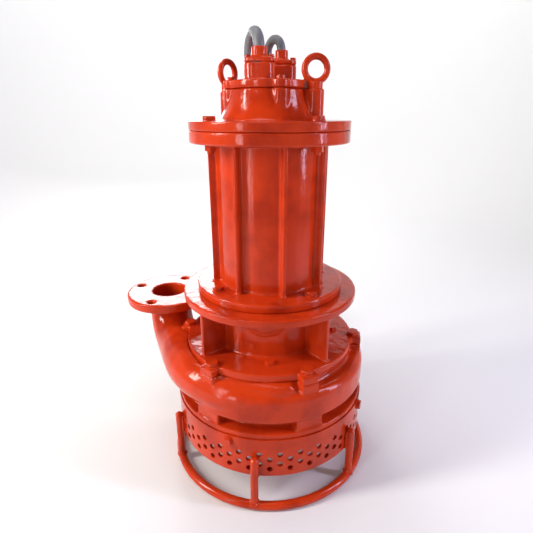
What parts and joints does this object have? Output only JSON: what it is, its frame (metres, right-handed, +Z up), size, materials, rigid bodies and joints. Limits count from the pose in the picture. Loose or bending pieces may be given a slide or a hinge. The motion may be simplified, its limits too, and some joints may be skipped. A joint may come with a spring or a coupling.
{
  "type": "submersible slurry pump",
  "caption": "Vertical submersible slurry pump with ribbed motor, oil chamber neck, volute casing with rising flanged discharge, and a perforated strainer on a ring stand.",
  "frame": {"origin": "on the shaft axis at the floor under the base ring", "axes": "+Z up along the shaft, -Y to the front with the oil plug, the discharge at the back left"},
  "size_m": [0.5781, 0.9753, 0.899],
  "materials": {
    "enamel": "gloss orange-red enamel over iron castings",
    "enamelled_steel": "the same enamel over steel",
    "machined_steel": "machined steel",
    "wear_iron": "high-chrome white iron",
    "bare_iron": "machined grey iron",
    "seal_ceramic": "lapped carbide ring",
    "core_steel": "stacked electrical steel",
    "winding": "varnished copper end turns",
    "moulding": "moulded phenolic",
    "grommet_rubber": "nitrile rubber",
    "cable_sheath": "grey-black rubber sheath",
    "core_insulation": "core insulation with a bare copper tip"
  },
  "bodies": {
    "pump": {"base_ring": "enamelled_steel", "bracket": "enamel", "cable_tails": "cable_sheath", "casing_bolts": "enamelled_steel", "control_cable": "cable_sheath", "control_cable_coil": "cable_sheath", "control_cable_cores": "core_insulation", "cover_bolts": "enamelled_steel", "cover_nuts": "enamelled_steel", "frame_bolts": "enamelled_steel", "gland_bolts": "enamelled_steel", "gland_grommets": "grommet_rubber", "gland_plates": "enamel", "lid_bolts": "enamelled_steel", "lifting_eyes": "enamelled_steel", "liner_bolts": "enamelled_steel", "lower_bearing_cap": "bare_iron", "lower_bearing_outer": "machined_steel", "lower_cap_screws": "machined_steel", "lower_seal_seat": "seal_ceramic", "motor_frame": "enamel", "oil_plug": "enamelled_steel", "power_cable": "cable_sheath", "power_cable_coil": "cable_sheath", "power_cable_cores": "core_insulation", "rear_liner": "wear_iron", "stand_legs": "enamelled_steel", "stator_core": "core_steel", "stator_windings": "winding", "strainer": "enamelled_steel", "strainer_bolts": "enamelled_steel", "suction_bolts": "machined_steel", "suction_cover": "enamel", "terminal_block": "moulding", "terminal_cover": "enamel", "throat_bush": "wear_iron", "top_cover": "enamel", "upper_bearing_cap": "bare_iron", "upper_bearing_outer": "machined_steel", "upper_cap_screws": "machined_steel", "upper_seal_seat": "seal_ceramic", "volute_casing": "enamel"},
    "rotor": {"agitator": "wear_iron", "agitator_nut": "machined_steel", "impeller": "wear_iron", "impeller_key": "machined_steel", "lower_bearing_inner": "machined_steel", "lower_seal_head": "machined_steel", "rotor_core": "core_steel", "seal_collar": "machined_steel", "shaft": "machined_steel", "spacer_sleeve": "machined_steel", "upper_bearing_inner": "machined_steel", "upper_seal_head": "machined_steel"},
    "lower_cage": {"lower_bearing_balls": "machined_steel"},
    "upper_cage": {"upper_bearing_balls": "machined_steel"}
  },
  "joints": [
    {"name": "rotor_spin", "type": "hinge", "parent": "pump", "child": "rotor", "pos_m": [0, 0, 0], "axis": [0, 0, 1], "continuous": true},
    {"name": "lower_cage_spin", "type": "hinge", "parent": "pump", "child": "lower_cage", "pos_m": [0, 0, 0], "axis": [0, 0, 1], "continuous": true},
    {"name": "upper_cage_spin", "type": "hinge", "parent": "pump", "child": "upper_cage", "pos_m": [0, 0, 0], "axis": [0, 0, 1], "continuous": true}
  ],
  "couplings": [
    {"joint": "lower_cage_spin", "follows": "rotor_spin", "ratio": 0.3912},
    {"joint": "upper_cage_spin", "follows": "rotor_spin", "ratio": 0.3885}
  ]
}
